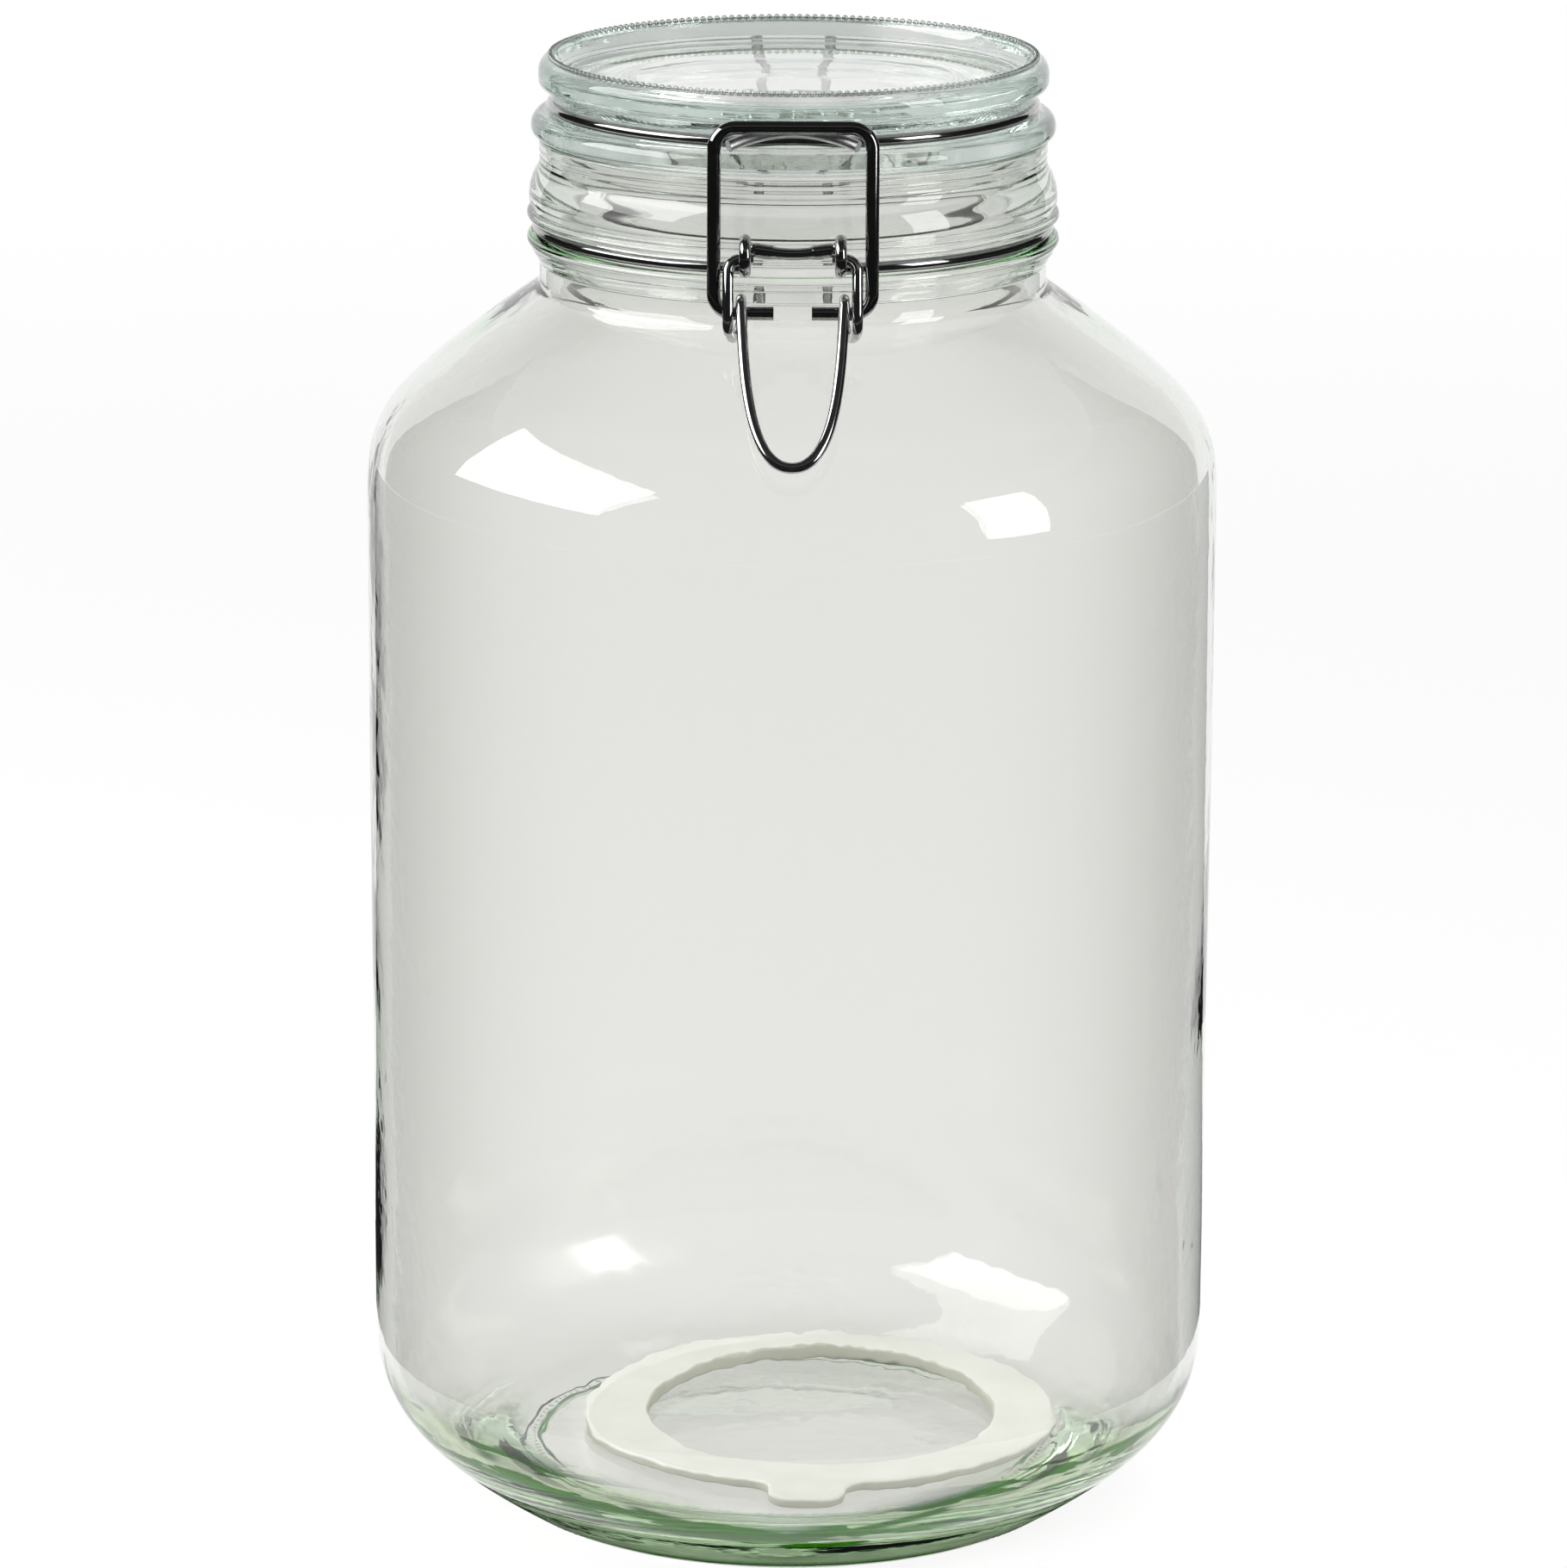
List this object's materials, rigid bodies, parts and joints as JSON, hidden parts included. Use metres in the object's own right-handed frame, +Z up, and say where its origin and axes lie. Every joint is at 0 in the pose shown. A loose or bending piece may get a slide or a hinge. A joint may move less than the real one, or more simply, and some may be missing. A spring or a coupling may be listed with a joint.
{
  "type": "airtight jar",
  "caption": "Clear glass storage jar with a clip-top glass lid, wire hinge, bail clamp with lever, and a loose rubber ring inside.",
  "frame": {"origin": "centre of the base, on the surface that the jar stands on", "axes": "+Z up, -Y towards the clamp at the front, +Y towards the hinge at the back, +X to the right seen from the front"},
  "size_m": [0.1712, 0.1712, 0.3],
  "materials": {
    "jar_glass": "clear pressed glass, faint green where thick",
    "lid_glass": "clear pressed glass, faint green where thick",
    "lid_wire": "bright plated steel wire",
    "catch_wire": "bright plated steel wire",
    "neck_wire": "bright plated steel wire",
    "bail_wire": "bright plated steel wire",
    "lever_wire": "bright plated steel wire",
    "gasket_rubber": "ivory natural rubber, matt"
  },
  "bodies": {
    "jar": {"glass_jar": "jar_glass", "neck_ring": "neck_wire"},
    "lid": {"glass_lid": "lid_glass", "lid_ring": "lid_wire", "lid_catch": "catch_wire"},
    "lever": {"lever": "lever_wire"},
    "bail": {"bail": "bail_wire"},
    "gasket": {"gasket": "gasket_rubber"}
  },
  "joints": [
    {"name": "lid_hinge", "type": "hinge", "parent": "jar", "child": "lid", "pos_m": [0, 0.0572, 0.2695], "axis": [-1, 0, 0], "range_deg": [0, 150]},
    {"name": "lever_pivot", "type": "hinge", "parent": "jar", "child": "lever", "pos_m": [0, -0.0566, 0.26855], "axis": [-1, 0, 0], "range_deg": [0, 120]},
    {"name": "bail_pivot", "type": "hinge", "parent": "lever", "child": "bail", "pos_m": [0, -0.0576, 0.25805], "axis": [1, 0, 0], "range_deg": [0, 135]},
    {"name": "gasket_lift", "type": "slide", "parent": "jar", "child": "gasket", "axis": [0, 0, 1], "range_m": [0, 0.18]}
  ],
  "couplings": [
    {"joint": "bail_pivot", "follows": "lever_pivot", "ratio": 1.1}
  ]
}
